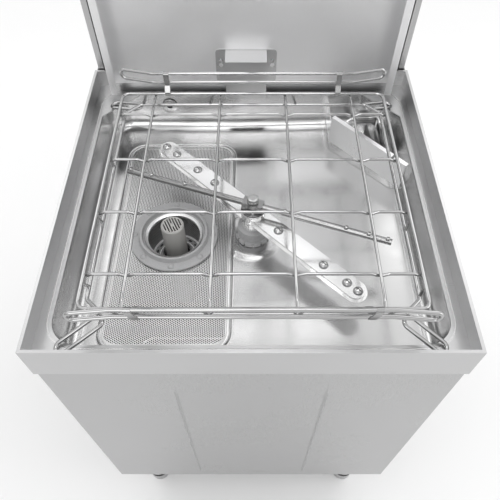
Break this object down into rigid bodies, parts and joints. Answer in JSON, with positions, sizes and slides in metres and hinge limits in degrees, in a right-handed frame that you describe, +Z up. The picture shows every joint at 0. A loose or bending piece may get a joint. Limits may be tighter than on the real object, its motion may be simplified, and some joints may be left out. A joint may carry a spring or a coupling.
{
  "type": "commercial hood dishwasher",
  "caption": "Pass-through commercial dishwasher with a lift-up hood, stainless tank, wire rack support, rotating wash and rinse arms, strainer and overflow pipe.",
  "frame": {"origin": "middle of the bounding box on the floor plane", "axes": "+X to the right seen from the front, +Y to the back, +Z up; hood raised"},
  "size_m": [0.64, 0.813, 1.826],
  "materials": {
    "cabinet_steel": "satin brushed stainless sheet",
    "tank_steel": "bright polished stainless sheet",
    "wire_steel": "electropolished stainless wire and bar",
    "grey_plastic": "satin mid grey plastic",
    "pale_plastic": "satin off-white plastic",
    "dark_plastic": "satin black plastic",
    "button_plastic": "glossy grey plastic",
    "dark_paint": "satin dark paint",
    "motor_paint": "satin grey paint",
    "hose_rubber": "matt black rubber hose"
  },
  "bodies": {
    "cabinet": {"foot_tubes": "cabinet_steel", "foot_pads": "cabinet_steel", "base_frame": "dark_paint", "floor_pan": "cabinet_steel", "front_panel": "cabinet_steel", "left_panel": "cabinet_steel", "right_panel": "cabinet_steel", "back_panel": "cabinet_steel", "tank_collar": "cabinet_steel", "wash_tank": "tank_steel", "tank_sump": "tank_steel", "strainer_plate": "tank_steel", "filter_ring": "grey_plastic", "ring_rivets": "grey_plastic", "corner_guard": "tank_steel", "tank_heater": "wire_steel", "vent_chute": "cabinet_steel", "chute_screws": "wire_steel", "arm_pedestal": "tank_steel", "lock_nut": "grey_plastic", "lower_thumb_nut": "wire_steel", "upper_supply_tube": "tank_steel", "upper_thumb_nut": "wire_steel", "wash_pump": "grey_plastic", "pump_motor": "motor_paint", "drain_pump": "dark_plastic", "boiler": "tank_steel", "pump_pipes": "hose_rubber", "inlet_valve": "grey_plastic", "cable_gland": "dark_plastic", "splash_panel": "cabinet_steel", "column_cover": "cabinet_steel", "column_cap": "cabinet_steel", "guide_rods": "wire_steel", "control_fascia": "dark_plastic", "strut_cylinders": "dark_paint"},
    "hood": {"hood_shell": "cabinet_steel", "hood_handle": "wire_steel", "guide_blocks": "dark_plastic", "strut_rods": "wire_steel"},
    "rack_support": {"rack_frame": "wire_steel", "grid_wires": "wire_steel", "front_rail": "wire_steel", "rear_rail": "wire_steel", "rail_clips": "wire_steel", "rack_legs": "wire_steel"},
    "lower_wash": {"lower_wash_arm": "tank_steel", "lower_wash_nozzles": "wire_steel"},
    "lower_rinse": {"lower_rinse_arm": "wire_steel", "lower_rinse_nozzles": "wire_steel"},
    "upper_wash": {"upper_wash_arm": "tank_steel", "upper_wash_nozzles": "wire_steel"},
    "upper_rinse": {"upper_rinse_arm": "wire_steel", "upper_rinse_nozzles": "wire_steel"},
    "overflow": {"overflow_pipe": "pale_plastic"},
    "basket": {"filter_basket": "tank_steel"},
    "impeller": {"pump_impeller": "wire_steel"},
    "power_key": {"power_button": "button_plastic"},
    "program_key": {"program_button": "button_plastic"},
    "start_key": {"start_button": "button_plastic"}
  },
  "joints": [
    {"name": "hood_lift", "type": "slide", "parent": "cabinet", "child": "hood", "axis": [0, 0, 1], "range_m": [-0.486, 0]},
    {"name": "lower_wash_spin", "type": "hinge", "parent": "cabinet", "child": "lower_wash", "pos_m": [0.003, -0.0735, 0.787], "axis": [0, 0, 1], "continuous": true},
    {"name": "lower_rinse_spin", "type": "hinge", "parent": "cabinet", "child": "lower_rinse", "pos_m": [0.003, -0.0735, 0.811], "axis": [0, 0, 1], "continuous": true},
    {"name": "upper_wash_spin", "type": "hinge", "parent": "cabinet", "child": "upper_wash", "pos_m": [0.003, -0.0735, 1.245], "axis": [0, 0, 1], "continuous": true},
    {"name": "upper_rinse_spin", "type": "hinge", "parent": "cabinet", "child": "upper_rinse", "pos_m": [0.003, -0.0735, 1.209], "axis": [0, 0, 1], "continuous": true},
    {"name": "pump_spin", "type": "hinge", "parent": "cabinet", "child": "impeller", "pos_m": [0.1, -0.0735, 0.56], "axis": [1, 0, 0], "continuous": true},
    {"name": "overflow_lift", "type": "slide", "parent": "cabinet", "child": "overflow", "axis": [0, 0, 1], "range_m": [0, 0.25]},
    {"name": "basket_lift", "type": "slide", "parent": "cabinet", "child": "basket", "axis": [0, 0, 1], "range_m": [0, 0.07]},
    {"name": "rack_lift", "type": "slide", "parent": "cabinet", "child": "rack_support", "axis": [0, 0, 1], "range_m": [0, 0.25]},
    {"name": "power_press", "type": "slide", "parent": "cabinet", "child": "power_key", "axis": [0, 1, 0], "range_m": [0, 0.002], "stiffness_N_per_m": 400},
    {"name": "program_press", "type": "slide", "parent": "cabinet", "child": "program_key", "axis": [0, 1, 0], "range_m": [0, 0.002], "stiffness_N_per_m": 400},
    {"name": "start_press", "type": "slide", "parent": "cabinet", "child": "start_key", "axis": [0, 1, 0], "range_m": [0, 0.002], "stiffness_N_per_m": 400}
  ]
}
